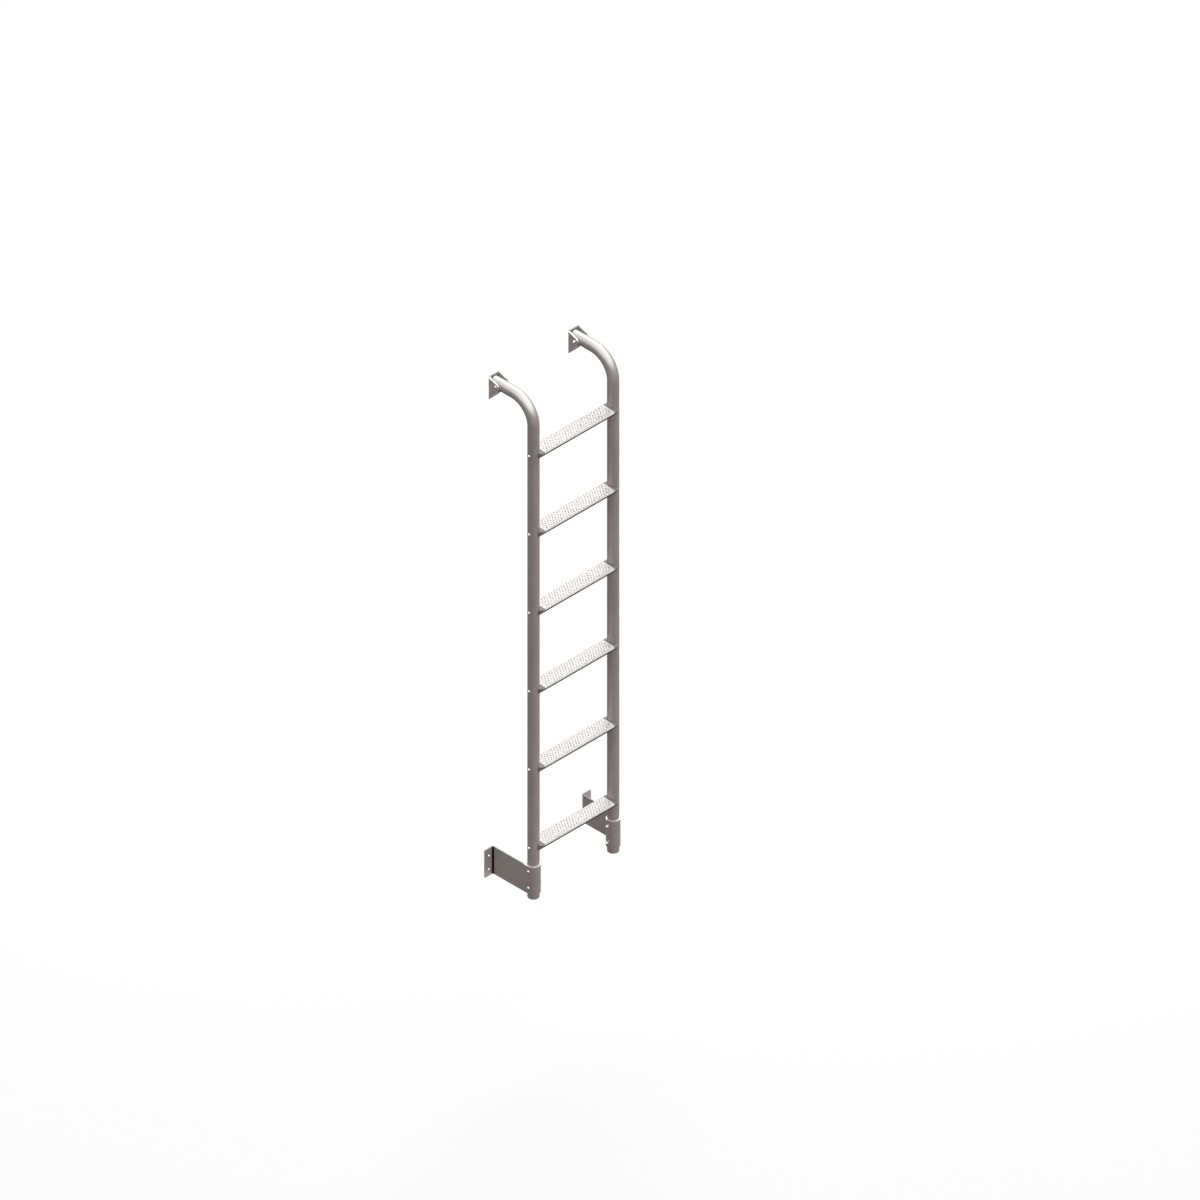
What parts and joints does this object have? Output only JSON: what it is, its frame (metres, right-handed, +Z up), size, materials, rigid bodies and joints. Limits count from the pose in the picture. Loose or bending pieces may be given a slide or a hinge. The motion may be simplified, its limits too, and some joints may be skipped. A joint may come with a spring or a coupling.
{
  "type": "van rear door ladder",
  "caption": "Ladder for the rear door of a van: round rails bent to the door at the top, flat grip treads, folded brackets above and wrapped stand-off brackets below.",
  "frame": {"origin": "on the door face of the left lower bracket's flange, midway between its two screw holes", "axes": "+X to the climber's right, +Y into the door, +Z up along the rails"},
  "size_m": [0.36, 0.159, 1.466],
  "materials": {
    "rail_metal": "satin anodised tube",
    "bracket_metal": "satin anodised sheet",
    "tread_metal": "pale extrusion with a gritty grip coat on top",
    "end_plastic": "moulded grey plastic, matte",
    "fastener_steel": "plated steel"
  },
  "bodies": {
    "root": {"left_rail": "rail_metal", "right_rail": "rail_metal", "rung_1": "tread_metal", "rung_1_left_end": "end_plastic", "rung_1_right_end": "end_plastic", "rung_2": "tread_metal", "rung_2_left_end": "end_plastic", "rung_2_right_end": "end_plastic", "rung_3": "tread_metal", "rung_3_left_end": "end_plastic", "rung_3_right_end": "end_plastic", "rung_4": "tread_metal", "rung_4_left_end": "end_plastic", "rung_4_right_end": "end_plastic", "rung_5": "tread_metal", "rung_5_left_end": "end_plastic", "rung_5_right_end": "end_plastic", "rung_6": "tread_metal", "rung_6_left_end": "end_plastic", "rung_6_right_end": "end_plastic", "left_lower_bracket": "bracket_metal", "left_upper_bracket": "bracket_metal", "left_foot_plug": "end_plastic", "left_top_plug": "end_plastic", "right_lower_bracket": "bracket_metal", "right_upper_bracket": "bracket_metal", "right_foot_plug": "end_plastic", "right_top_plug": "end_plastic"}
  },
  "joints": []
}
